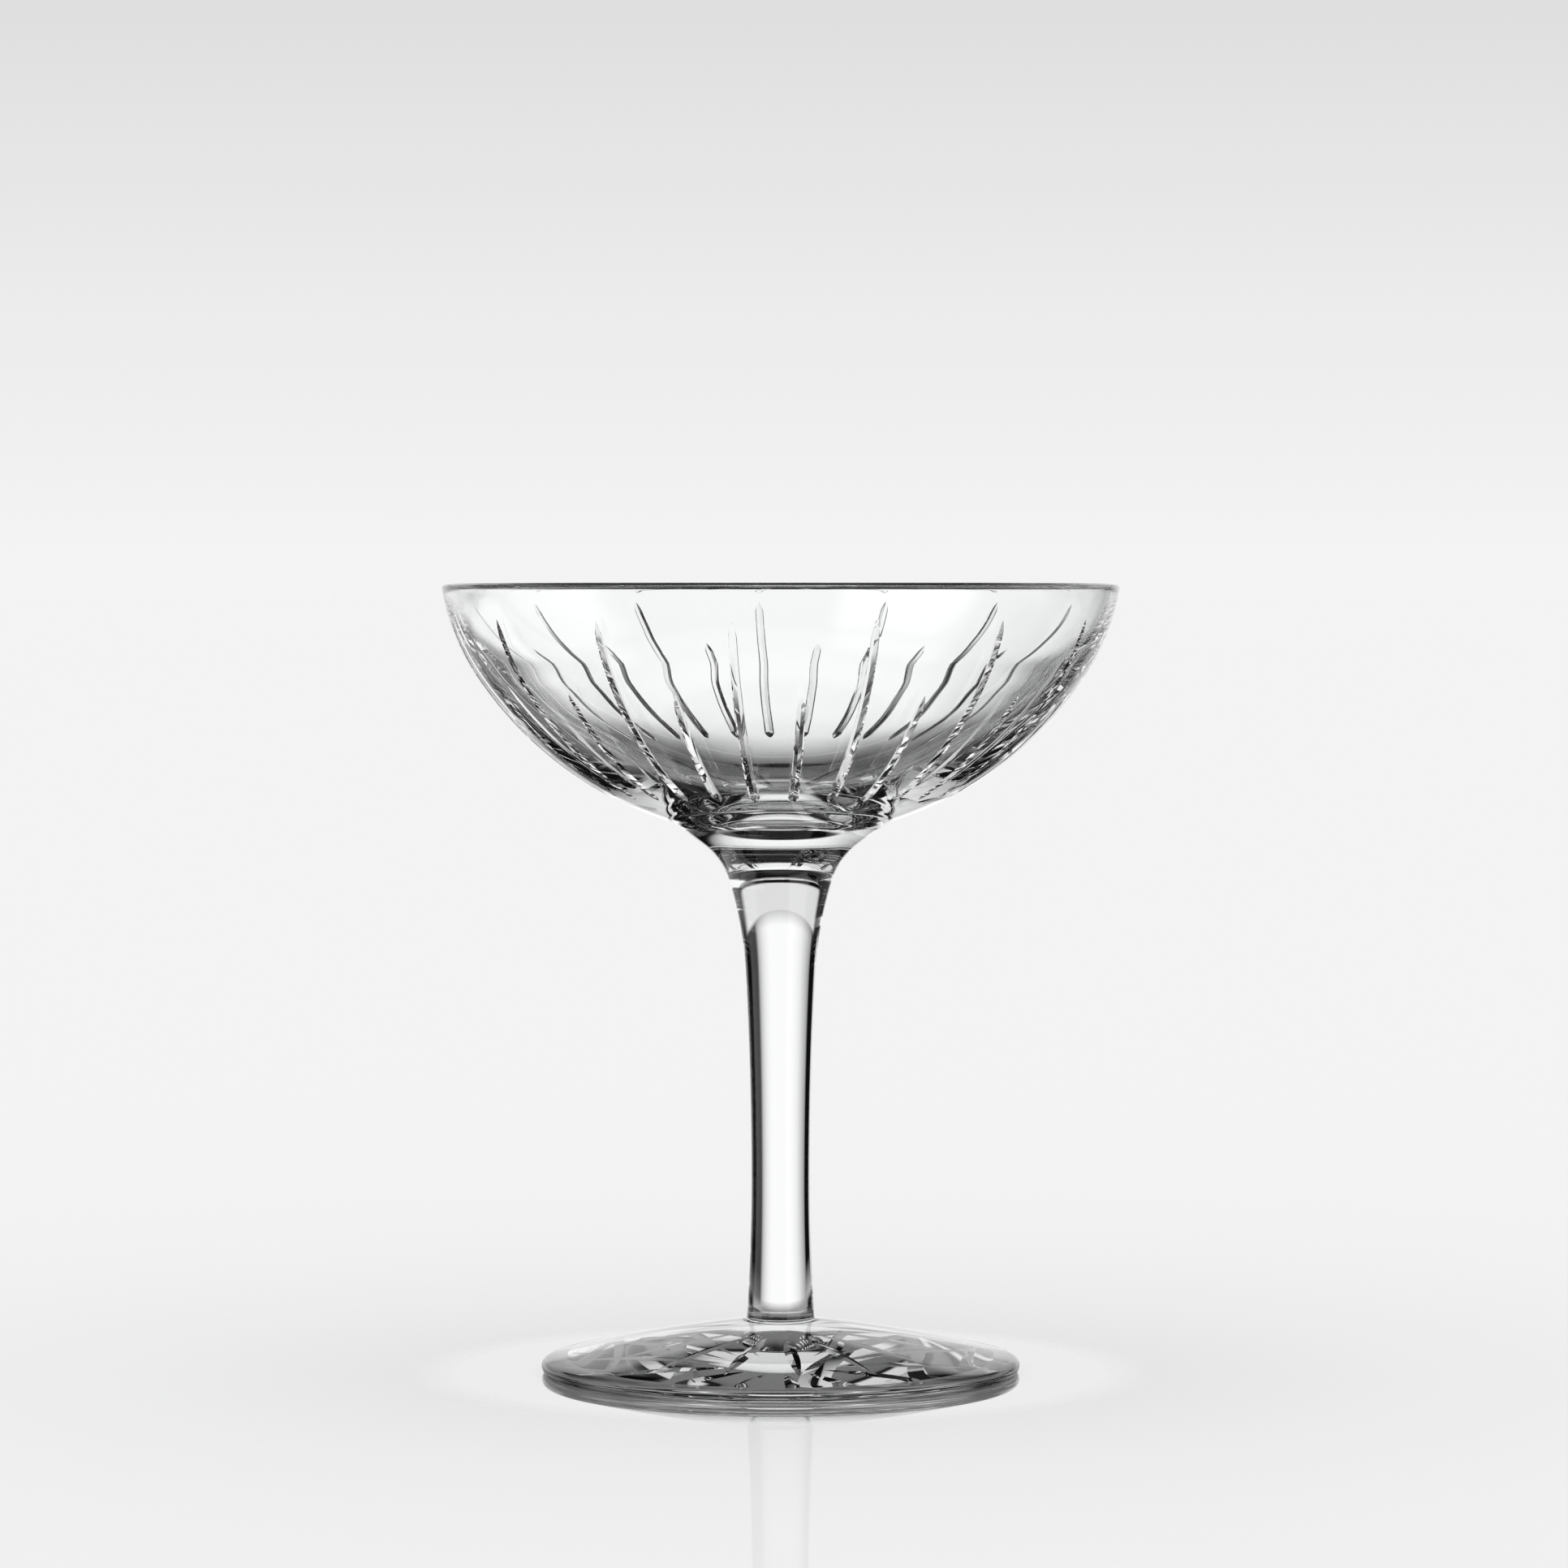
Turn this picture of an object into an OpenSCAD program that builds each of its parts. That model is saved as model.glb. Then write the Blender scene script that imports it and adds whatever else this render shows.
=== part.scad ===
// A coupe glass: a wide shallow bowl on a solid stem and a round foot, all of clear crystal.
// The bowl, the stem and the foot are three pieces of glass, fused face to face.
// The table is at height zero, the axis of the glass is the Z axis and the front is towards -Y.

/* [Whole glass] */
// Height from the table to the rim
glass_h = 140; // [125:1:155]

/* [Bowl] */
// Diameter over the rim
rim_d = 120; // [110:1:130]
// Depth inside, from the rim to the middle of the floor
bowl_depth = 40; // [37:0.5:43]
// Thickness of the glass at the rim
rim_wall = 1.5; // [1.2:0.1:2]
// Thickness of the floor in the middle, down to the seam with the stem
floor_wall = 3; // [2:0.1:4]
// How far the round belly would reach below that seam
belly_dip = 2.1; // [1.5:0.1:3]
// Lean of the outside at the rim, in degrees from upright
rim_lean = 8; // [6:0.5:12]
// Lean of the outside where the flank turns into the belly
flank_lean = 34; // [30:0.5:38]
// Lean of the inside at the rim
inner_rim_lean = 9; // [6:0.5:12]
// Lean of the inside where its flank turns into the floor
inner_flank_lean = 36; // [32:0.5:40]
// Width of the round seat under the bowl, where the stem is fused on
seat_d = 36; // [30:0.5:40]
// Lean of the seat's edge, in degrees from upright
seat_lean = 55; // [45:1:65]

/* [Wedge cuts on the bowl] */
// Number of long cuts, with as many short ones between them
cut_count = 15; // [9:1:18]
// Turn of the first long cut from the front, in degrees
cut_turn = -8; // [-12:1:12]
// Lean of the flank where a long cut starts
long_lean = 17; // [14:0.5:28]
// Lean of the belly where a short cut starts
short_lean = 36.5; // [36:0.5:44]
// Lean of the belly where every cut ends
end_lean = 62; // [54:0.5:65]
// Depth of a cut at its upper end
cut_top_depth = 0.45; // [0.3:0.05:0.7]
// Depth of a cut at its lower end
cut_end_depth = 0.65; // [0.4:0.05:0.9]
// Length over which a cut narrows to its upper point
upper_point = 3; // [1:0.1:4]
// Length over which a cut narrows to its lower point
lower_point = 1.8; // [1:0.1:3]
// Angle of every wedge, from wall to wall
wedge_angle = 110; // [90:5:130]

/* [Stem] */
// Diameter at the narrowest place
waist_d = 10.4; // [8:0.1:11]
// Height of that place above the table
waist_h = 34; // [28:0.5:40]
// Lean of the stem where the flare starts, in degrees from upright
shoulder_lean = 3; // [1:0.1:5]
// Radius of the long curve under the flare
neck_curve = 70; // [50:1:90]
// Lean of the stem where that curve ends
neck_lean = 17; // [12:0.5:22]
// Radius of the flare itself
flare_curve = 12.5; // [9:0.5:16]
// Lean of the stem where the flare ends
flare_lean = 53.5; // [45:0.5:60]
// Diameter at the foot
base_d = 12; // [11.5:0.1:14]
// How far the stem spreads over the foot where it is fused on
spread_w = 0.55; // [0.3:0.05:0.9]
// Height over which it spreads
spread_h = 0.9; // [0.6:0.05:1.4]

/* [Foot] */
// Diameter of the foot
foot_d = 85; // [75:0.5:95]
// Height of the foot where the stem stands on it
foot_h = 9.1; // [7:0.1:11]
// Thickness of its rounded edge
edge_h = 2.3; // [1.8:0.1:3]
// How far its top bulges above a straight slope
dome_bulge = 0.5; // [0.2:0.05:0.8]
// Width of the hollow in its underside
hollow_d = 75; // [66:0.5:80]
// Depth of that hollow in the middle
hollow_h = 0.5; // [0.3:0.05:0.8]

/* [Star cut under the foot] */
// Number of rays
star_count = 15; // [9:1:18]
// Turn of the first ray from the front, in degrees
star_turn = 6; // [-12:1:12]
// Width of the circle where the rays start, round the middle
star_inner_d = 14; // [14:0.5:20]
// Width of the circle where the rays end
star_outer_d = 62; // [50:0.5:68]
// Depth of a ray half way along
star_depth = 0.8; // [0.5:0.05:1]

/* [Hidden] */

// How far a cutter's edge stands behind its point, which is past the surface that it cuts
overrun = 1;
// How far two slices of one piece reach into each other
lap = 0.2;
// Facets of a turned surface, of a drawn arc and of a round edge
turn_fn = 180;
arc_fn = 720;
edge_fn = 96;
// How far a wedge is swept past the two points of a cut on the bowl, in degrees of lean
run_on = 2;
// Margin past both ends of every sweep, in degrees
sweep_margin = 0.1;

crystal = [0.90, 0.94, 0.95, 0.5];

seat_z = glass_h - bowl_depth - floor_wall;
seat_r = seat_d / 2;

// Two arcs that meet without a corner, from a rim down to the axis: [flank radius, belly radius].
function arc_pair(radius, depth, top_lean, mid_lean) =
    let (det = cos(mid_lean) * (1 - sin(top_lean)) - cos(top_lean) * (1 - sin(mid_lean)),
         gap = (radius * (1 - sin(top_lean)) - depth * cos(top_lean)) / det,
         flank = (depth * cos(mid_lean) - radius * (1 - sin(mid_lean))) / det)
    [flank, flank + gap];

// The heights and the offset of the two arcs' centres: [flank centre x, flank centre z, belly centre z].
function arc_centres(radii, top_lean, mid_lean) =
    let (gap = radii[1] - radii[0], flank_z = glass_h + radii[0] * sin(top_lean))
    [gap * cos(mid_lean), flank_z, flank_z + gap * sin(mid_lean)];

// The outside would reach this radius at the rim if the rim weren't round.
rim_r = rim_wall / 2;
sharp_r = rim_d / 2 - rim_r + rim_r / cos(rim_lean) + rim_r * tan(rim_lean);
outer_depth = bowl_depth + floor_wall + belly_dip;
outer_radii = arc_pair(sharp_r, outer_depth, rim_lean, flank_lean);
outer_centres = arc_centres(outer_radii, rim_lean, flank_lean);
inner_radii = arc_pair(sharp_r - rim_wall / cos(rim_lean), bowl_depth, inner_rim_lean, inner_flank_lean);
inner_centres = arc_centres(inner_radii, inner_rim_lean, inner_flank_lean);

// A point in the bowl's outside, or below it, where the surface leans by that angle.
function outside(lean, depth) =
    lean < flank_lean
        ? [outer_centres[0] + (outer_radii[0] - depth) * cos(lean),
           outer_centres[1] - (outer_radii[0] - depth) * sin(lean)]
        : [(outer_radii[1] - depth) * cos(lean), outer_centres[2] - (outer_radii[1] - depth) * sin(lean)];

// The centre of the circle through three points.
function centre_of(a, b, c) =
    let (turn = 2 * (a.x * (b.y - c.y) + b.x * (c.y - a.y) + c.x * (a.y - b.y)),
         aa = a * a, bb = b * b, cc = c * c)
    [(aa * (b.y - c.y) + bb * (c.y - a.y) + cc * (a.y - b.y)) / turn,
     (aa * (c.x - b.x) + bb * (a.x - c.x) + cc * (b.x - a.x)) / turn];

function direction(from, to) = atan2(to.y - from.y, to.x - from.x);

// The half section of a round vessel's space, between the axis and its two arcs, up to the rim.
module vessel(radii, centres, mid_lean) {
    join_z = centres[2] - radii[1] * sin(mid_lean);
    intersection() {
        translate([0, centres[2]]) circle(r = radii[1], $fn = arc_fn);
        translate([0, centres[2] - radii[1]]) square([radii[1], join_z - centres[2] + radii[1]]);
    }
    intersection() {
        union() {
            translate([centres[0], centres[1]]) circle(r = radii[0], $fn = arc_fn);
            translate([0, join_z - lap]) square([centres[0], glass_h - join_z + lap]);
        }
        translate([0, join_z - lap]) square([centres[0] + radii[0], glass_h - join_z + lap]);
    }
}

// The bowl's half section: outside and seat, less the inside, with a round rim.
module bowl_section() {
    seat_rise = belly_dip;
    difference() {
        union() {
            difference() {
                vessel(outer_radii, outer_centres, flank_lean);
                square([rim_d / 2, seat_z]);
                translate([0, glass_h - rim_r]) square([rim_d, rim_wall]);
            }
            polygon([[0, seat_z], [seat_r, seat_z], [seat_r + seat_rise * tan(seat_lean), seat_z + seat_rise],
                     [0, seat_z + seat_rise]]);
        }
        vessel(inner_radii, inner_centres, inner_flank_lean);
    }
    translate([rim_d / 2 - rim_r, glass_h - rim_r]) circle(r = rim_r, $fn = edge_fn);
}

// A wedge swept along the circle through three points. side is 1 for a floor cut from outside
// the circle, and -1 for one cut from inside it.
module swept_wedge(first, middle, last, side) {
    centre = centre_of(first, middle, last);
    radius = norm(first - centre);
    from = direction(centre, first) - sweep_margin;
    sweep = direction(centre, last) - from + sweep_margin;
    half_w = overrun * tan(wedge_angle / 2);
    back_r = radius + side * overrun;
    translate([centre.x, 0, centre.y]) rotate([90, 0, 0]) rotate([0, 0, from])
        rotate_extrude(angle = sweep, $fn = arc_fn)
            polygon([[radius, 0], [back_r, -half_w], [back_r, half_w]]);
}

// The front view of one cut, wider than the wedge but for its two points.
module cut_outline(top_z, end_z) {
    half_w = (overrun + lap) * tan(wedge_angle / 2);
    top_taper = upper_point * (overrun + lap) / cut_top_depth;
    end_taper = lower_point * (overrun + lap) / cut_end_depth;
    polygon([[0, top_z], [half_w, top_z - top_taper], [half_w, end_z + end_taper],
             [0, end_z], [-half_w, end_z + end_taper], [-half_w, top_z - top_taper]]);
}

// One cut on the bowl, from a lean near the rim down to the shared lower end.
module bowl_cut(top_lean) {
    middle_lean = (top_lean + end_lean) / 2;
    middle_depth = (cut_top_depth + cut_end_depth) / 2;
    intersection() {
        swept_wedge(outside(end_lean + run_on, cut_end_depth), outside(middle_lean, middle_depth),
                    outside(top_lean - run_on, cut_top_depth), 1);
        rotate([90, 0, 90]) linear_extrude(rim_d)
            cut_outline(outside(top_lean, 0).y, outside(end_lean, 0).y);
    }
}

module bowl() {
    color(crystal) difference() {
        rotate_extrude($fn = turn_fn) bowl_section();
        for (i = [0 : cut_count - 1]) {
            turn = cut_turn - 90 + i * 360 / cut_count;
            rotate([0, 0, turn]) bowl_cut(long_lean);
            rotate([0, 0, turn + 180 / cut_count]) bowl_cut(short_lean);
        }
    }
}

// The centre's distance for an arc that starts upright and spreads by a width over a height.
function spread_radius(width, height) = (width * width + height * height) / (2 * width);

// The stem's outline, worked out from the waist up to the seat.
waist_r = waist_d / 2;
neck_rise = neck_curve * (sin(neck_lean) - sin(shoulder_lean));
neck_gain = neck_curve * (cos(shoulder_lean) - cos(neck_lean));
flare_rise = flare_curve * (sin(flare_lean) - sin(neck_lean));
flare_gain = flare_curve * (cos(neck_lean) - cos(flare_lean));
half_turn = tan(shoulder_lean / 2);
free_rise = seat_z - waist_h - neck_rise - flare_rise;
free_gain = seat_r - waist_r - neck_gain - flare_gain;
waist_gain = half_turn * (free_rise - free_gain / tan(flare_lean)) / (1 - half_turn / tan(flare_lean));
shoulder_z = waist_h + waist_gain / half_turn;
shoulder_r = waist_r + waist_gain;
neck_z = shoulder_z + neck_rise;
neck_r = shoulder_r + neck_gain;
flare_z = neck_z + flare_rise;
flare_r = neck_r + flare_gain;

// A slice of the stem's half section whose edge is hollowed by a circle.
module hollowed(low, high, centre, radius) {
    difference() {
        translate([0, low]) square([centre.x, high - low]);
        translate(centre) circle(r = radius, $fn = arc_fn);
    }
}

module stem_section() {
    base_r = base_d / 2;
    spread_z = foot_h + spread_h;
    spread_curve = spread_radius(spread_w, spread_h);
    base_curve = spread_radius(base_r - waist_r, waist_h - spread_z);
    waist_curve = waist_gain / (1 - cos(shoulder_lean));
    hollowed(foot_h, spread_z, [base_r + spread_curve, spread_z], spread_curve);
    hollowed(foot_h, waist_h, [waist_r + base_curve, waist_h], base_curve);
    hollowed(waist_h - lap, shoulder_z + lap, [waist_r + waist_curve, waist_h], waist_curve);
    hollowed(shoulder_z, neck_z + lap,
             [shoulder_r + neck_curve * cos(shoulder_lean), shoulder_z - neck_curve * sin(shoulder_lean)],
             neck_curve);
    hollowed(neck_z, flare_z, [neck_r + flare_curve * cos(neck_lean), neck_z - flare_curve * sin(neck_lean)],
             flare_curve);
    polygon([[0, flare_z - lap], [flare_r - lap * tan(flare_lean), flare_z - lap], [seat_r, seat_z],
             [0, seat_z]]);
}

module stem() {
    color(crystal) rotate_extrude($fn = turn_fn) stem_section();
}

// The foot's top is one arc from the edge up to the stem's spread base.
edge_r = edge_h / 2;
edge_x = foot_d / 2 - edge_r;
stem_base_r = base_d / 2 + spread_w;
slope = atan2(foot_h - edge_h, edge_x - stem_base_r);
edge_lean = slope + 2 * atan(2 * dome_bulge / (edge_x - stem_base_r));
dome_end = [edge_x + edge_r * sin(edge_lean), edge_r + edge_r * cos(edge_lean)];
dome_start = [stem_base_r, foot_h];
dome_run = dome_end - dome_start;
dome_mid = (dome_start + dome_end) / 2 + dome_bulge * [-dome_run.y, dome_run.x] / norm(dome_run);
dome_centre = centre_of(dome_start, dome_mid, dome_end);
hollow_curve = (hollow_d * hollow_d / 4 + hollow_h * hollow_h) / (2 * hollow_h);

module foot_section() {
    difference() {
        union() {
            intersection() {
                translate(dome_centre) circle(r = norm(dome_end - dome_centre), $fn = arc_fn);
                union() {
                    square([edge_x, foot_h]);
                    translate([0, edge_r]) square([dome_end.x, foot_h - edge_r]);
                }
            }
            translate([edge_x, edge_r]) circle(r = edge_r, $fn = edge_fn);
        }
        translate([0, hollow_h - hollow_curve]) circle(r = hollow_curve, $fn = arc_fn);
    }
}

// A point on the hollow underside, or above it, at a distance from the axis.
function underside(x, depth) = [x, hollow_h - hollow_curve + sqrt(hollow_curve * hollow_curve - x * x) + depth];

module foot() {
    inner = star_inner_d / 2;
    outer = star_outer_d / 2;
    color(crystal) difference() {
        rotate_extrude($fn = turn_fn) foot_section();
        for (i = [0 : star_count - 1]) rotate([0, 0, star_turn - 90 + i * 360 / star_count])
            swept_wedge(underside(outer, 0), underside((inner + outer) / 2, star_depth), underside(inner, 0), -1);
    }
}

bowl();
stem();
foot();
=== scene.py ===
import math

import bmesh
import bpy
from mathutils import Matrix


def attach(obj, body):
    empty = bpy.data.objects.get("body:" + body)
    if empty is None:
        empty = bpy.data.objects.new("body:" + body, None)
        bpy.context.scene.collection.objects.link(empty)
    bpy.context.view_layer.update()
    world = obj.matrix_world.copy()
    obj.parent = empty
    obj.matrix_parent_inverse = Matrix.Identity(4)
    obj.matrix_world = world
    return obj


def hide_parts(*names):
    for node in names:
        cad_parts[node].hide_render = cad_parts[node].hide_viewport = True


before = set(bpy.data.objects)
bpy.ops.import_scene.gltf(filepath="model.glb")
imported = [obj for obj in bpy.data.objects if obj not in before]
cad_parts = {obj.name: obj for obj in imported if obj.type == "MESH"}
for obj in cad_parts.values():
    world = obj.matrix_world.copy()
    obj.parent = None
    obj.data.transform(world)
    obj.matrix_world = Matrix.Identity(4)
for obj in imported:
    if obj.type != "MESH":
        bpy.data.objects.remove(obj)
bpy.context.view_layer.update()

# Camera
# A long lens a metre away stands a little above the rim and looks slightly down, to just under the
# bowl. Its place and tilt are read from how open the rim and the foot look in the photograph.
sensor_w = 36
photo_w = 1932
px_per_m = 6950
camera_distance = 1.06
camera_height = 0.1445
camera_side = 0.0006
camera_tilt = 2.16

lens_camera = bpy.data.cameras.new("long_lens")
lens_camera.sensor_width = sensor_w
lens_camera.lens = sensor_w * px_per_m * camera_distance / photo_w
camera = bpy.data.objects.new("long_lens", lens_camera)
bpy.context.collection.objects.link(camera)
camera.location = (camera_side, -camera_distance, camera_height)
camera.rotation_euler = (math.radians(90 - camera_tilt), 0, 0)
bpy.context.scene.camera = camera
bpy.context.scene.view_settings.view_transform = "Standard"

# Table and room
# A white table with a smooth gloss. Clear glass is drawn only by what it bends into view, so the room
# that it sees is the photograph's studio: a lit screen behind, pale walls and dark between them.
bpy.ops.object.select_all(action="DESELECT")
bpy.ops.mesh.primitive_plane_add(size=40)
table = bpy.context.object
table.name = "table"

table_white = (0.9, 0.9, 0.902, 1)
# How far from the glass's axis the table's mirror and its painted glow end, and where they are full.
mirror_edge, mirror_full = 0.066, 0.057
painted_glow_edge, painted_glow_full = 0.04, 0.037

white_table = bpy.data.materials.new("white_table")
white_table.use_nodes = True
nodes, links = white_table.node_tree.nodes, white_table.node_tree.links
surface = nodes["Principled BSDF"]
surface.inputs["Base Color"].default_value = table_white
surface.inputs["Roughness"].default_value = 0.4
surface.inputs["Specular IOR Level"].default_value = 0
# Close round the foot its gloss mirrors the glass. Further out, a look through or off the glass goes
# past the table into the room.
seen_by = nodes.new("ShaderNodeLightPath")
place = nodes.new("ShaderNodeTexCoord")
from_axis = nodes.new("ShaderNodeVectorMath")
from_axis.operation = "LENGTH"
links.new(place.outputs["Object"], from_axis.inputs[0])
round_foot = nodes.new("ShaderNodeMapRange")
round_foot.inputs["From Min"].default_value = mirror_edge
round_foot.inputs["From Max"].default_value = mirror_full
links.new(from_axis.outputs["Value"], round_foot.inputs["Value"])
gloss = nodes.new("ShaderNodeBsdfGlossy")
gloss.inputs["Color"].default_value = (0.5, 0.5, 0.5, 1)
gloss.inputs["Roughness"].default_value = 0
# Right under the foot the table has a painted glow for looks through or off the glass: an emission that
# stands in for the studio's light that the clear glass lets down to the table.
painted_glow = nodes.new("ShaderNodeEmission")
painted_glow.inputs["Color"].default_value = table_white
painted_glow.inputs["Strength"].default_value = 0.3
within_foot = nodes.new("ShaderNodeMapRange")
within_foot.inputs["From Min"].default_value = painted_glow_edge
within_foot.inputs["From Max"].default_value = painted_glow_full
within_foot.inputs["To Max"].default_value = 0.85
links.new(from_axis.outputs["Value"], within_foot.inputs["Value"])
under_foot = nodes.new("ShaderNodeMixShader")
links.new(within_foot.outputs[0], under_foot.inputs["Fac"])
links.new(gloss.outputs[0], under_foot.inputs[1])
links.new(painted_glow.outputs[0], under_foot.inputs[2])
open_room = nodes.new("ShaderNodeBsdfTransparent")
below_glass = nodes.new("ShaderNodeMixShader")
links.new(round_foot.outputs[0], below_glass.inputs["Fac"])
links.new(open_room.outputs[0], below_glass.inputs[1])
links.new(under_foot.outputs[0], below_glass.inputs[2])
bright_gloss = nodes.new("ShaderNodeBsdfGlossy")
bright_gloss.inputs["Color"].default_value = (0.86, 0.86, 0.86, 1)
bright_gloss.inputs["Roughness"].default_value = 0
# The lower the look along the table, the more it mirrors.
slant = nodes.new("ShaderNodeLayerWeight")
low_look = nodes.new("ShaderNodeMapRange")
low_look.inputs["From Min"].default_value = 0.78
low_look.inputs["From Max"].default_value = 0.85
links.new(slant.outputs["Facing"], low_look.inputs["Value"])
mirrored = nodes.new("ShaderNodeMath")
mirrored.operation = "MULTIPLY"
links.new(round_foot.outputs[0], mirrored.inputs[0])
links.new(low_look.outputs[0], mirrored.inputs[1])
polished = nodes.new("ShaderNodeMapRange")
polished.inputs["To Min"].default_value = 0.09
polished.inputs["To Max"].default_value = 0.85
links.new(mirrored.outputs[0], polished.inputs["Value"])
open_table = nodes.new("ShaderNodeMixShader")
links.new(polished.outputs[0], open_table.inputs["Fac"])
links.new(surface.outputs[0], open_table.inputs[1])
links.new(bright_gloss.outputs[0], open_table.inputs[2])
in_glass = nodes.new("ShaderNodeMath")
in_glass.operation = "MAXIMUM"
links.new(seen_by.outputs["Is Transmission Ray"], in_glass.inputs[0])
links.new(seen_by.outputs["Is Glossy Ray"], in_glass.inputs[1])
either = nodes.new("ShaderNodeMixShader")
links.new(in_glass.outputs[0], either.inputs["Fac"])
links.new(open_table.outputs[0], either.inputs[1])
links.new(below_glass.outputs[0], either.inputs[2])
links.new(either.outputs[0], nodes["Material Output"].inputs["Surface"])
table.data.materials.append(white_table)

studio = bpy.data.worlds.new("studio")
bpy.context.scene.world = studio
studio.use_nodes = True
nodes, links = studio.node_tree.nodes, studio.node_tree.links


def studio_math(operation, first, second=None, third=None):
    node = nodes.new("ShaderNodeMath")
    node.operation = operation
    for socket, value in zip(node.inputs, (first, second, third)):
        if isinstance(value, (int, float)):
            socket.default_value = value
        elif value is not None:
            links.new(value, socket)
    return node.outputs[0]


def studio_ramp(value, stops):
    node = nodes.new("ShaderNodeValToRGB")
    links.new(value, node.inputs["Fac"])
    ramp = node.color_ramp
    for stop in stops[2:]:
        ramp.elements.new(stop[0])
    for element, (place, level) in zip(ramp.elements, stops):
        element.position = place
        element.color = (level, level, level, 1)
    return node.outputs["Color"]


def studio_mix(weight, first, second):
    node = nodes.new("ShaderNodeMix")
    node.data_type = "RGBA"
    for label, value in (("Factor", weight), ("A", first), ("B", second)):
        if isinstance(value, float):
            node.inputs[label].default_value = (value, value, value, 1)
        else:
            links.new(value, node.inputs[label])
    return node.outputs["Result"]


looking = nodes.new("ShaderNodeTexCoord")
towards = nodes.new("ShaderNodeSeparateXYZ")
links.new(looking.outputs["Generated"], towards.inputs[0])
# Both from 0 to 1: the turn round the glass, with 0.5 straight behind it and more to its right, and
# the height from straight down to straight up.
turn = studio_math("MULTIPLY_ADD", studio_math("ARCTAN2", towards.outputs["X"], towards.outputs["Y"]),
                   0.5 / math.pi, 0.5)
height = studio_math("MULTIPLY_ADD", towards.outputs["Z"], 0.5, 0.5)
# The lit screen behind, brightest in its middle and further spread to the left.
screen_across = studio_ramp(turn, ((0, 0), (0.372, 0), (0.382, 0.34), (0.404, 0.58), (0.423, 0.77),
                                   (0.447, 0.92), (0.467, 1), (0.533, 1), (0.546, 0.92), (0.56, 0.78),
                                   (0.568, 0.62), (0.577, 0.4), (0.584, 0.06), (0.59, 0)))
screen_up = studio_ramp(height, ((0, 0), (0.345, 0), (0.36, 0.3), (0.38, 0.95), (0.4, 1), (0.575, 1),
                                 (0.6, 0.6), (0.62, 0)))
# A dimmer strip runs on over the screen, wider to the right.
strip_across = studio_ramp(turn, ((0, 0), (0.36, 0), (0.38, 1), (0.62, 1), (0.65, 0)))
strip_up = studio_ramp(height, ((0, 0), (0.59, 0), (0.6, 0.75), (0.69, 0.75), (0.71, 0)))
# Pale walls at the left and at the right behind the camera, and a pale floor low down in both back
# corners and right below the glass. The rest is nearly dark.
dark_level = 0.004
walls_across = studio_ramp(turn, ((0, 0), (0.17, 0), (0.2, 1), (0.3, 1), (0.32, 0), (0.79, 0), (0.81, 1),
                                  (0.93, 1), (0.95, 0)))
walls_up = studio_ramp(height, ((0, 0), (0.1, 0), (0.14, 0.95), (0.6, 0.95), (0.64, 0)))
corner_across = studio_ramp(turn, ((0, 0), (0.3, 0), (0.32, 1), (0.41, 1), (0.43, 0), (0.57, 0),
                                   (0.59, 0.28), (0.7, 0.28), (0.72, 0)))
corner_up = studio_ramp(height, ((0, 0), (0.1, 0), (0.14, 0.95), (0.38, 0.95), (0.41, 0)))
right_below = studio_ramp(height, ((0, 0.6), (0.08, 0.6), (0.12, 0)))
room = studio_math("MULTIPLY", screen_across, screen_up)
room = studio_math("MAXIMUM", room, studio_math("MULTIPLY", strip_across, strip_up))
room = studio_math("MAXIMUM", room, studio_math("MULTIPLY", walls_across, walls_up))
room = studio_math("MAXIMUM", room, studio_math("MULTIPLY", corner_across, corner_up))
room = studio_math("MAXIMUM", room, right_below)
room = studio_math("MAXIMUM", room, dark_level)
# The camera itself sees a pale backdrop that gets greyer upwards.
backdrop = studio_ramp(height, ((0, 0.9), (0.5, 0.9), (0.52, 0.84), (0.55, 0.72)))

seen_by = nodes.new("ShaderNodeLightPath")
in_glass = studio_math("MAXIMUM", seen_by.outputs["Is Transmission Ray"], seen_by.outputs["Is Glossy Ray"])
# The glass sees the room, and all else is lit evenly by white. Through the glass it is a little brighter.
open_white = 1.0
through_gain = 0.14
links.new(studio_mix(seen_by.outputs["Is Camera Ray"], studio_mix(in_glass, open_white, room), backdrop),
          nodes["Background"].inputs["Color"])
links.new(studio_math("MULTIPLY_ADD", seen_by.outputs["Is Transmission Ray"], through_gain, 1),
          nodes["Background"].inputs["Strength"])

# Bowl
# The wide bowl is clear crystal, blown in a mould. Its rim is cut off, ground and fire-polished,
# and the wedges are cut into the outside on a wheel and polished.
rim_z = 0.140
rim_r = 0.060
rim_wall = 0.0015
bowl_depth = 0.040
floor_wall = 0.003
bowl_foot_z = 0.097
seat_r = 0.018
# How far the outer side would run on below the seat, if it weren't ground flat.
ground_off = 0.0021
# How far each side leans from upright: just under the lip, where its two arcs meet, and at the seat.
outer_top_lean, inner_top_lean = 8, 9
outer_mid_lean, inner_mid_lean = 34, 36
seat_lean = 72.8
turn_steps = 360


def lean_of(degrees):
    return math.cos(math.radians(degrees)), math.sin(math.radians(degrees))


def round_side(radius, depth, top_lean, mid_lean):
    # Two arcs that meet without a corner, from a rim down to the axis, as (centre x, centre z, radius).
    top_c, top_s = lean_of(top_lean)
    mid_c, mid_s = lean_of(mid_lean)
    det = mid_c * (1 - top_s) - top_c * (1 - mid_s)
    gap = (radius * (1 - top_s) - depth * top_c) / det
    flank = (depth * mid_c - radius * (1 - mid_s)) / det
    flank_z = rim_z + flank * top_s
    return (gap * mid_c, flank_z, flank), (0, flank_z + gap * mid_s, flank + gap)


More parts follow.
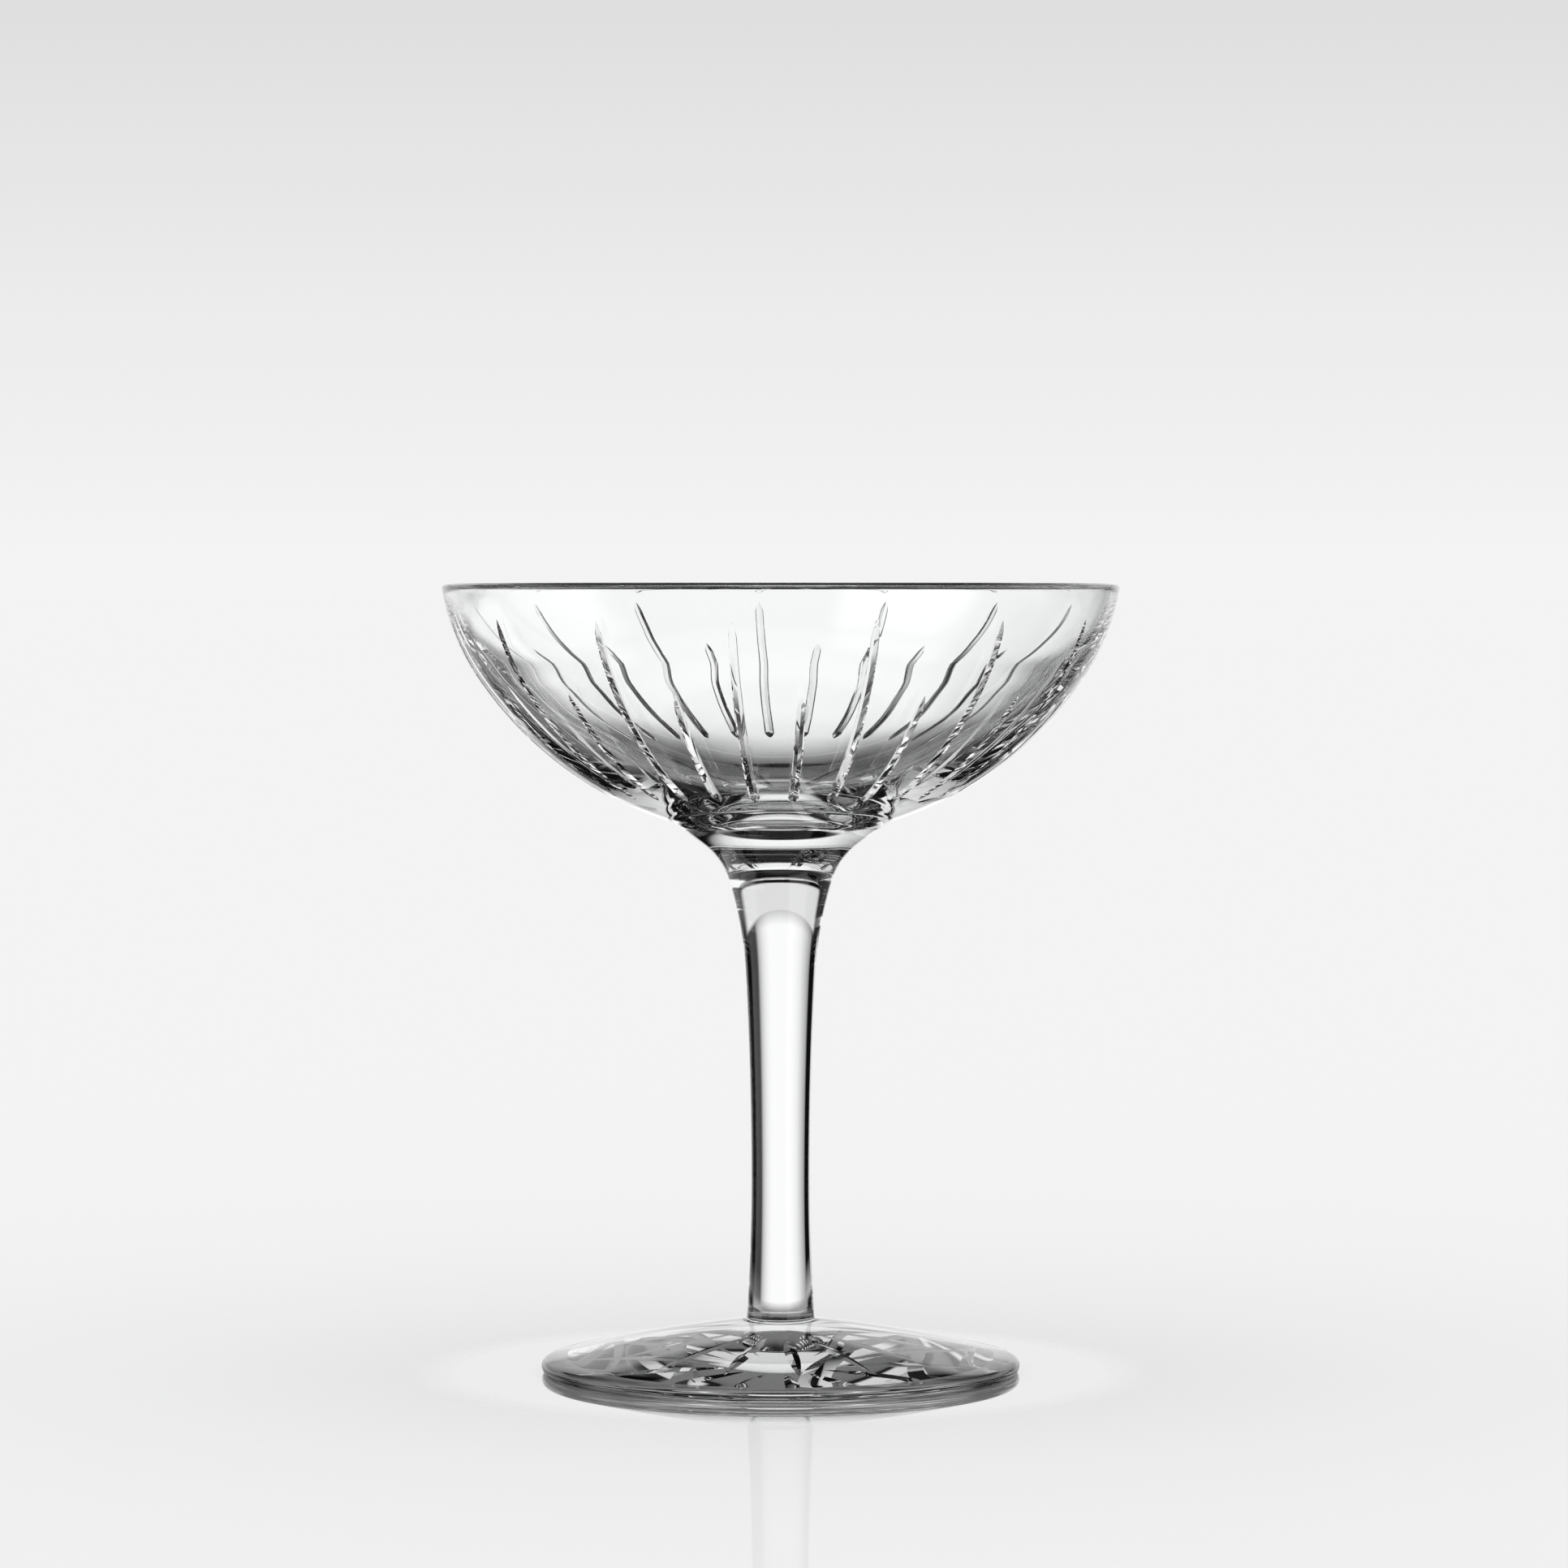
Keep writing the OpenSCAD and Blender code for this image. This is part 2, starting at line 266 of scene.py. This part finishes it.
def start_line(name, x, z):
    bpy.ops.object.select_all(action="DESELECT")
    bpy.ops.mesh.primitive_plane_add(size=0.001, location=(x, 0, z))
    bpy.ops.object.transform_apply(location=True, rotation=True, scale=True)
    line = bpy.context.object
    line.name = name
    bpy.ops.object.mode_set(mode="EDIT")
    bpy.ops.mesh.select_mode(type="VERT")
    bpy.ops.mesh.select_all(action="SELECT")
    bpy.ops.mesh.merge(type="CENTER")
    return line


def line_to(x, z, pieces=1):
    drawn = bmesh.from_edit_mesh(bpy.context.object.data)
    end = next(v.co.copy() for v in drawn.verts if v.select)
    step = {"value": ((x - end.x) / pieces, 0, (z - end.z) / pieces)}
    for _ in range(pieces):
        bpy.ops.mesh.extrude_vertices_move(TRANSFORM_OT_translate=step)


def arc_on(centre, degrees, pieces):
    bpy.ops.mesh.spin(steps=pieces, angle=math.radians(degrees), center=(centre[0], 0, centre[1]),
                      axis=(0, 1, 0))


def turn_line():
    bpy.ops.mesh.select_all(action="SELECT")
    bpy.ops.mesh.spin(steps=turn_steps, angle=math.radians(360), center=(0, 0, 0), axis=(0, 0, 1))
    bpy.ops.mesh.select_all(action="SELECT")
    bpy.ops.mesh.remove_doubles(threshold=0.000005)
    bpy.ops.mesh.normals_make_consistent(inside=False)
    bpy.ops.object.mode_set(mode="OBJECT")


lip_r = rim_wall / 2
lip_x, lip_z = rim_r - lip_r, rim_z - lip_r
lip_c, lip_s = lean_of(outer_top_lean)
sharp_r = lip_x + lip_r / lip_c + lip_r * lip_s / lip_c
outer_flank, outer_belly = round_side(sharp_r, bowl_depth + floor_wall + ground_off,
                                      outer_top_lean, outer_mid_lean)
inner_flank, inner_belly = round_side(sharp_r - rim_wall / lip_c, bowl_depth,
                                      inner_top_lean, inner_mid_lean)
# The lean of each flank where the round lip starts.
inner_lip = math.degrees(math.asin((inner_flank[1] - lip_z) / inner_flank[2]))
outer_lip = math.degrees(math.asin((outer_flank[1] - lip_z) / outer_flank[2]))
inner_lip -= math.degrees(lip_r * lean_of(inner_lip)[1] / inner_flank[2])
outer_lip += math.degrees(lip_r * lean_of(outer_lip)[1] / outer_flank[2])

bowl = start_line("crystal_bowl", 0, rim_z - bowl_depth)
arc_on(inner_belly, 90 - inner_mid_lean, 60)
arc_on(inner_flank, inner_mid_lean - inner_lip, 16)
arc_on((lip_x, lip_z), outer_lip - inner_lip - 180, 12)
arc_on(outer_flank, outer_lip - outer_mid_lean, 18)
arc_on(outer_belly, outer_mid_lean - seat_lean, 44)
line_to(seat_r, bowl_foot_z, 2)
line_to(0, bowl_foot_z, 12)
turn_line()

# One wedge is drawn at its upper point and led down the outside, deeper and then out again, by the
# angle and the size of each step. The wheel's edge is worn: flatter at its tip than up its sides.
tip_wall, side_wall = 65, 40
tip_h = 0.0002
wedge_back = 0.001
# The leans at which the long and the short wedges start, and at which both end.
long_top, short_top, wedge_end = 17, 36.5, 62
# How far a wedge runs before it has its depth and after it, and how deep it is there.
top_run, end_run = 0.003, 0.0018
top_deep, end_deep = 0.00042, 0.00058
upper_steps, lower_steps = 14, 36
cut_smooth = 20


def outside(lean, depth):
    centre_x, centre_z, radius = outer_flank if lean < outer_mid_lean else outer_belly
    c, s = lean_of(lean)
    return centre_x + (radius - depth) * c, centre_z - (radius - depth) * s


def wedge_tool(name, top_lean):
    top_side = outer_flank if top_lean < outer_mid_lean else outer_belly
    first = top_lean + math.degrees(top_run / top_side[2])
    last = wedge_end - math.degrees(end_run / outer_belly[2])
    steps = [(top_lean, 0), (first, top_deep)]
    leans = []
    if first < outer_mid_lean:
        leans = [first + (outer_mid_lean - first) * k / upper_steps for k in range(1, upper_steps + 1)]
    start = leans[-1] if leans else first
    leans += [start + (last - start) * k / lower_steps for k in range(1, lower_steps + 1)]
    steps += [(lean, top_deep + (end_deep - top_deep) * (lean - first) / (last - first)) for lean in leans]
    steps.append((wedge_end, 0))

    point, out, back = (outside(top_lean, -h) for h in (0, tip_h, wedge_back))
    tip_w = tip_h * math.tan(math.radians(tip_wall))
    side_w = (wedge_back - tip_h) * math.tan(math.radians(side_wall))
    up_tip = (out[0] - point[0], out[1] - point[1])
    up_side = (back[0] - out[0], back[1] - out[1])
    tool = start_line(name, *point)
    for step in ((up_tip[0], -tip_w, up_tip[1]), (up_side[0], -side_w, up_side[1]),
                 (0, 2 * (tip_w + side_w), 0), (-up_side[0], -side_w, -up_side[1])):
        bpy.ops.mesh.extrude_vertices_move(TRANSFORM_OT_translate={"value": step})
    bpy.ops.mesh.select_all(action="SELECT")
    bpy.ops.mesh.edge_face_add()
    for (before, shallow), (lean, deep) in zip(steps, steps[1:]):
        centre = outer_flank if lean <= outer_mid_lean else outer_belly
        back = outside(lean, -wedge_back)
        grown = (wedge_back + deep) / (wedge_back + shallow)
        bpy.ops.mesh.extrude_region()
        bpy.ops.transform.rotate(value=math.radians(before - lean), orient_axis="Y",
                                 center_override=(centre[0], 0, centre[1]))
        bpy.ops.transform.resize(value=(grown, grown, grown), center_override=(back[0], 0, back[1]))
    bpy.ops.mesh.select_all(action="SELECT")
    bpy.ops.mesh.normals_make_consistent(inside=False)
    bpy.ops.object.mode_set(mode="OBJECT")
    return tool


def cut_round(piece, tool, turns, smooth_to):
    # Copies of one tool, each at its own turn, cut the piece in one go.
    bpy.ops.object.select_all(action="DESELECT")
    for turn in turns:
        copy = bpy.data.objects.new(tool.name, tool.data.copy())
        bpy.context.collection.objects.link(copy)
        copy.rotation_euler.z = math.radians(turn)
        copy.select_set(True)
        bpy.context.view_layer.objects.active = copy
    bpy.ops.object.join()
    tools = bpy.context.object
    bpy.ops.object.transform_apply(location=True, rotation=True, scale=True)
    bpy.data.objects.remove(tool)
    bpy.ops.object.select_all(action="DESELECT")
    bpy.context.view_layer.objects.active = piece
    piece.select_set(True)
    cut = piece.modifiers.new("cuts", "BOOLEAN")
    cut.solver = "EXACT"
    cut.object = tools
    bpy.ops.object.modifier_apply(modifier=cut.name)
    bpy.data.objects.remove(tools)
    bpy.ops.object.shade_smooth_by_angle(angle=math.radians(smooth_to))


# The front is at -90 degrees. One long wedge lies 8 degrees to its left, and a short one half way
# between each two.
cut_count = 15
cut_pitch = 360 / cut_count
first_long, first_short = -98, -86
long_turns = [cut_pitch * i + first_long for i in range(cut_count)]
short_turns = [cut_pitch * i + first_short for i in range(cut_count)]
cut_round(bowl, wedge_tool("long_wedge", long_top), long_turns, cut_smooth)
cut_round(bowl, wedge_tool("short_wedge", short_top), short_turns, cut_smooth)

# Where two pieces are fused, the glass runs on, so both faces of the joint are left clear.
joint_play = 0.00001
clear_joint = bpy.data.node_groups.new("clear_joint", "ShaderNodeTree")
clear_joint.interface.new_socket("Height", in_out="INPUT", socket_type="NodeSocketFloat")
clear_joint.interface.new_socket("Glass", in_out="OUTPUT", socket_type="NodeSocketFloat")
nodes, links = clear_joint.nodes, clear_joint.links
given, result = nodes.new("NodeGroupInput"), nodes.new("NodeGroupOutput")
place, parts = nodes.new("ShaderNodeTexCoord"), nodes.new("ShaderNodeSeparateXYZ")
links.new(place.outputs["Object"], parts.inputs[0])
at_joint, glass_mask = nodes.new("ShaderNodeMath"), nodes.new("ShaderNodeMath")
at_joint.operation, glass_mask.operation = "COMPARE", "SUBTRACT"
links.new(parts.outputs["Z"], at_joint.inputs[0])
links.new(given.outputs["Height"], at_joint.inputs[1])
at_joint.inputs[2].default_value = joint_play
glass_mask.inputs[0].default_value = 1
links.new(at_joint.outputs[0], glass_mask.inputs[1])
links.new(glass_mask.outputs[0], result.inputs["Glass"])

# Hot glass never sets quite even: its skin keeps slow waves, drawn out the way that it was worked,
# and a few seeds, bubbles under a millimetre, that lift it where they lie.
worked_skin = bpy.data.node_groups.new("worked_skin", "ShaderNodeTree")
for label in ("Across", "Upright", "Wave", "Seed Size"):
    worked_skin.interface.new_socket(label, in_out="INPUT", socket_type="NodeSocketFloat")
worked_skin.interface.new_socket("Height", in_out="OUTPUT", socket_type="NodeSocketFloat")
nodes, links = worked_skin.nodes, worked_skin.links
given, result = nodes.new("NodeGroupInput"), nodes.new("NodeGroupOutput")
place, drawn_out = nodes.new("ShaderNodeTexCoord"), nodes.new("ShaderNodeCombineXYZ")
stretched = nodes.new("ShaderNodeVectorMath")
stretched.operation = "MULTIPLY"
for axis, label in zip("XYZ", ("Across", "Across", "Upright")):
    links.new(given.outputs[label], drawn_out.inputs[axis])
links.new(place.outputs["Object"], stretched.inputs[0])
links.new(drawn_out.outputs[0], stretched.inputs[1])
waves = nodes.new("ShaderNodeTexNoise")
waves.inputs["Scale"].default_value = 1
waves.inputs["Detail"].default_value = 0
links.new(stretched.outputs[0], waves.inputs["Vector"])
wave = nodes.new("ShaderNodeMath")
wave.operation = "MULTIPLY"
links.new(waves.outputs[0], wave.inputs[0])
links.new(given.outputs["Wave"], wave.inputs[1])
seeds = nodes.new("ShaderNodeTexVoronoi")
seeds.inputs["Scale"].default_value = 75
links.new(place.outputs["Object"], seeds.inputs["Vector"])
seed = nodes.new("ShaderNodeMapRange")
seed.interpolation_type = "SMOOTHSTEP"
seed.inputs["From Min"].default_value = 0
seed.inputs["To Min"].default_value = 0.00006
seed.inputs["To Max"].default_value = 0
links.new(seeds.outputs["Distance"], seed.inputs["Value"])
links.new(given.outputs["Seed Size"], seed.inputs["From Max"])
skin = nodes.new("ShaderNodeMath")
skin.operation = "ADD"
links.new(wave.outputs[0], skin.inputs[0])
links.new(seed.outputs[0], skin.inputs[1])
links.new(skin.outputs[0], result.inputs["Height"])

# What is left after polishing with a cloth: a thin haze in patches, and specks of lint.
wiped = bpy.data.node_groups.new("wiped", "ShaderNodeTree")
for label in ("Haze", "Lint"):
    wiped.interface.new_socket(label, in_out="INPUT", socket_type="NodeSocketFloat")
for label in ("Roughness", "Dust"):
    wiped.interface.new_socket(label, in_out="OUTPUT", socket_type="NodeSocketFloat")
nodes, links = wiped.nodes, wiped.links
given, result = nodes.new("NodeGroupInput"), nodes.new("NodeGroupOutput")
place = nodes.new("ShaderNodeTexCoord")
patches = nodes.new("ShaderNodeTexNoise")
patches.inputs["Scale"].default_value = 42
patches.inputs["Detail"].default_value = 3
patches.inputs["Distortion"].default_value = 1.2
links.new(place.outputs["Object"], patches.inputs["Vector"])
haze = nodes.new("ShaderNodeMapRange")
haze.inputs["From Min"].default_value = 0.56
haze.inputs["From Max"].default_value = 0.75
links.new(patches.outputs[0], haze.inputs["Value"])
links.new(given.outputs["Haze"], haze.inputs["To Max"])
links.new(haze.outputs[0], result.inputs["Roughness"])
specks = nodes.new("ShaderNodeTexVoronoi")
specks.inputs["Scale"].default_value = 160
links.new(place.outputs["Object"], specks.inputs["Vector"])
lint = nodes.new("ShaderNodeMapRange")
lint.inputs["From Min"].default_value = 0.012
lint.inputs["From Max"].default_value = 0.03
lint.inputs["To Max"].default_value = 0
links.new(specks.outputs["Distance"], lint.inputs["Value"])
links.new(given.outputs["Lint"], lint.inputs["To Min"])
links.new(lint.outputs[0], result.inputs["Dust"])

# A trace of green is in all crystal, and the lint on it is a warm grey.
less_red, less_blue = 0.006, 0.002
lint_colour = (0.55, 0.53, 0.5, 1)


def crystal(name, joints, clear_level, across, upright, wave_height, seed_size, haze, lint,
            inside_only=False):
    material = bpy.data.materials.new(name)
    material.use_nodes = True
    nodes, links = material.node_tree.nodes, material.node_tree.links
    glass = nodes["Principled BSDF"]
    glass.inputs["IOR"].default_value = 1.54
    glass.inputs["Transmission Weight"].default_value = 1
    skin, cloth = nodes.new("ShaderNodeGroup"), nodes.new("ShaderNodeGroup")
    skin.node_tree, cloth.node_tree = worked_skin, wiped
    skin.inputs["Across"].default_value = across
    skin.inputs["Upright"].default_value = upright
    skin.inputs["Wave"].default_value = wave_height
    skin.inputs["Seed Size"].default_value = seed_size
    cloth.inputs["Haze"].default_value = haze
    cloth.inputs["Lint"].default_value = lint
    relief = nodes.new("ShaderNodeBump")
    relief.inputs["Distance"].default_value = 1
    links.new(skin.outputs["Height"], relief.inputs["Height"])
    links.new(relief.outputs[0], glass.inputs["Normal"])
    if inside_only:
        # The mould keeps the outside true, so only what faces up, the inside, is left to wave, and
        # its thick floor sets flat.
        surface, facing = nodes.new("ShaderNodeNewGeometry"), nodes.new("ShaderNodeSeparateXYZ")
        side, up, inside, waved = (nodes.new("ShaderNodeMath") for _ in range(4))
        side.operation, up.operation, inside.operation = "MULTIPLY_ADD", "MULTIPLY", "GREATER_THAN"
        waved.operation = "MULTIPLY"
        flank = nodes.new("ShaderNodeMapRange")
        flank.inputs["From Min"].default_value = 0.97
        flank.inputs["From Max"].default_value = 0.82
        side.inputs[1].default_value, side.inputs[2].default_value = -2, 1
        inside.inputs[1].default_value = 0
        links.new(surface.outputs["True Normal"], facing.inputs[0])
        links.new(surface.outputs["Backfacing"], side.inputs[0])
        links.new(facing.outputs["Z"], up.inputs[0])
        links.new(side.outputs[0], up.inputs[1])
        links.new(up.outputs[0], inside.inputs[0])
        links.new(up.outputs[0], flank.inputs["Value"])
        links.new(inside.outputs[0], waved.inputs[0])
        links.new(flank.outputs[0], waved.inputs[1])
        links.new(waved.outputs[0], relief.inputs["Strength"])
    links.new(cloth.outputs["Roughness"], glass.inputs["Roughness"])
    colour = nodes.new("ShaderNodeMix")
    colour.data_type = "RGBA"
    colour.inputs["A"].default_value = (clear_level - less_red, clear_level, clear_level - less_blue, 1)
    colour.inputs["B"].default_value = lint_colour
    links.new(cloth.outputs["Dust"], colour.inputs["Factor"])
    links.new(colour.outputs["Result"], glass.inputs["Base Color"])
    alpha = None
    for height in joints:
        clear = nodes.new("ShaderNodeGroup")
        clear.node_tree = clear_joint
        clear.inputs["Height"].default_value = height
        if alpha is None:
            alpha = clear.outputs[0]
        else:
            both = nodes.new("ShaderNodeMath")
            both.operation = "MULTIPLY"
            links.new(alpha, both.inputs[0])
            links.new(clear.outputs[0], both.inputs[1])
            alpha = both.outputs[0]
    links.new(alpha, glass.inputs["Alpha"])
    return material


bowl.data.materials.append(crystal("bowl_crystal_look", joints=[bowl_foot_z], clear_level=0.99, across=30,
                                   upright=130, wave_height=0.00009, seed_size=0.02, haze=0.008, lint=0.5,
                                   inside_only=True))
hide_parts("bowl")
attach(bowl, "root")

# Stem
# The stem is the same crystal, drawn out hot from a solid gather. It flares at its top into a round
# seat that is fused under the bowl, and at its bottom it is fused to the foot.
foot_top_z = 0.0091
stem_base_r = 0.00655
waist_r, waist_z = 0.0052, 0.034
base_r, base_z = 0.006, 0.010
shoulder_lean, neck_lean, flare_lean = 3, 17, 53.5
neck_curve, flare_curve = 0.070, 0.0125
spun_smooth = 24


def hollow_radius(width, height):
    return (width * width + height * height) / (2 * width)


shoulder_c, shoulder_s = lean_of(shoulder_lean)
neck_c, neck_s = lean_of(neck_lean)
flare_c, flare_s = lean_of(flare_lean)
free_rise = bowl_foot_z - waist_z - neck_curve * (neck_s - shoulder_s) - flare_curve * (flare_s - neck_s)
free_gain = seat_r - waist_r - neck_curve * (shoulder_c - neck_c) - flare_curve * (neck_c - flare_c)
half_turn = math.tan(math.radians(shoulder_lean / 2))
flare_slope = flare_c / flare_s
waist_gain = half_turn * (free_rise - free_gain * flare_slope) / (1 - half_turn * flare_slope)
shoulder_z = waist_z + waist_gain / half_turn
shoulder_r = waist_r + waist_gain
spread_curve = hollow_radius(stem_base_r - base_r, base_z - foot_top_z)
base_curve = hollow_radius(base_r - waist_r, waist_z - base_z)
waist_curve = waist_gain / (1 - shoulder_c)
neck_z = shoulder_z + neck_curve * (neck_s - shoulder_s)
neck_r = shoulder_r + neck_curve * (shoulder_c - neck_c)

stem = start_line("crystal_stem", 0, foot_top_z)
line_to(stem_base_r, foot_top_z, 4)
arc_on((base_r + spread_curve, base_z), -math.degrees(math.asin((base_z - foot_top_z) / spread_curve)), 10)
arc_on((waist_r + base_curve, waist_z), -math.degrees(math.asin((waist_z - base_z) / base_curve)), 16)
arc_on((waist_r + waist_curve, waist_z), -shoulder_lean, 20)
arc_on((shoulder_r + neck_curve * shoulder_c, shoulder_z - neck_curve * shoulder_s),
       shoulder_lean - neck_lean, 20)
arc_on((neck_r + flare_curve * neck_c, neck_z - flare_curve * neck_s), neck_lean - flare_lean, 20)
line_to(seat_r, bowl_foot_z, 6)
line_to(0, bowl_foot_z, 12)
turn_line()
bpy.ops.object.shade_smooth_by_angle(angle=math.radians(spun_smooth))
stem.data.materials.append(crystal("stem_crystal_look", joints=[foot_top_z, bowl_foot_z], clear_level=0.93,
                                   across=160, upright=25, wave_height=0.000006, seed_size=0.03, haze=0.01,
                                   lint=0.4))
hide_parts("stem")
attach(stem, "root")

# Foot
# The foot is a disc of crystal, pressed and spun out to a thin round edge, slightly domed above and
# hollow below, with a star of fifteen rays cut and polished into its underside.
foot_r, edge_r = 0.0425, 0.00115
hollow_r, hollow_h = 0.0375, 0.0005
dome_bulge = 0.0005
star_in, star_out, star_deep = 0.007, 0.031, 0.0008
# Each ray is led in steps, and each of its sides spreads by this much for its depth.
ray_steps, ray_slope = 16, 1.428
first_ray = -84

edge_x = foot_r - edge_r
slope = math.atan2(foot_top_z - 2 * edge_r, edge_x - stem_base_r)
edge_lean = slope + 2 * math.atan(2 * dome_bulge / (edge_x - stem_base_r))
dome_end = (edge_x + edge_r * math.sin(edge_lean), edge_r + edge_r * math.cos(edge_lean))
run = (dome_end[0] - stem_base_r, dome_end[1] - foot_top_z)
dome_span = math.hypot(*run)
dome_curve = (dome_span * dome_span / 4 + dome_bulge * dome_bulge) / (2 * dome_bulge)
dome_turn = 2 * math.degrees(math.asin(dome_span / 2 / dome_curve))
inward = (dome_curve - dome_bulge) / dome_span
dome_centre = ((stem_base_r + dome_end[0]) / 2 + run[1] * inward,
               (foot_top_z + dome_end[1]) / 2 - run[0] * inward)
hollow_curve = (hollow_r * hollow_r + hollow_h * hollow_h) / (2 * hollow_h)

foot = start_line("crystal_foot", 0, hollow_h)
arc_on((0, hollow_h - hollow_curve), -math.degrees(math.asin(hollow_r / hollow_curve)), 30)
line_to(edge_x, 0, 3)
arc_on((edge_x, edge_r), 180 - math.degrees(edge_lean), 16)
arc_on(dome_centre, dome_turn, 34)
line_to(0, foot_top_z, 4)
turn_line()

# One ray is a wedge led inwards along the underside, deepest half way.
ray = start_line("star_ray", star_out, 0)
for step in ((0, -wedge_back * ray_slope, -wedge_back), (0, 2 * wedge_back * ray_slope, 0)):
    bpy.ops.mesh.extrude_vertices_move(TRANSFORM_OT_translate={"value": step})
bpy.ops.mesh.select_all(action="SELECT")
bpy.ops.mesh.edge_face_add()


def ray_at(step):
    along = step / ray_steps
    x = star_out + (star_in - star_out) * along
    roof = hollow_h - hollow_curve + math.sqrt(hollow_curve * hollow_curve - x * x)
    return x, roof, star_deep * 4 * along * (1 - along)


bpy.ops.transform.translate(value=(0, 0, ray_at(0)[1]))
for step in range(1, ray_steps + 1):
    (x0, roof0, deep0), (x1, roof1, deep1) = ray_at(step - 1), ray_at(step)
    grown = (wedge_back + deep1) / (wedge_back + deep0)
    bpy.ops.mesh.extrude_region()
    bpy.ops.transform.translate(value=(x1 - x0, 0, roof1 - roof0))
    bpy.ops.transform.resize(value=(1, grown, grown), center_override=(x1, 0, roof1 - wedge_back))
bpy.ops.mesh.select_all(action="SELECT")
bpy.ops.mesh.normals_make_consistent(inside=False)
bpy.ops.object.mode_set(mode="OBJECT")
cut_round(foot, ray, [cut_pitch * i + first_ray for i in range(cut_count)], spun_smooth)
foot.data.materials.append(crystal("foot_crystal_look", joints=[foot_top_z], clear_level=0.97, across=60,
                                   upright=90, wave_height=0.00001, seed_size=0.025, haze=0.01, lint=0.5))
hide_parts("foot")
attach(foot, "root")

# Finish
bpy.context.scene.cycles.max_bounces = 48
bpy.context.scene.cycles.glossy_bounces = 48
bpy.context.scene.cycles.transmission_bounces = 48
bpy.context.scene.cycles.transparent_max_bounces = 48
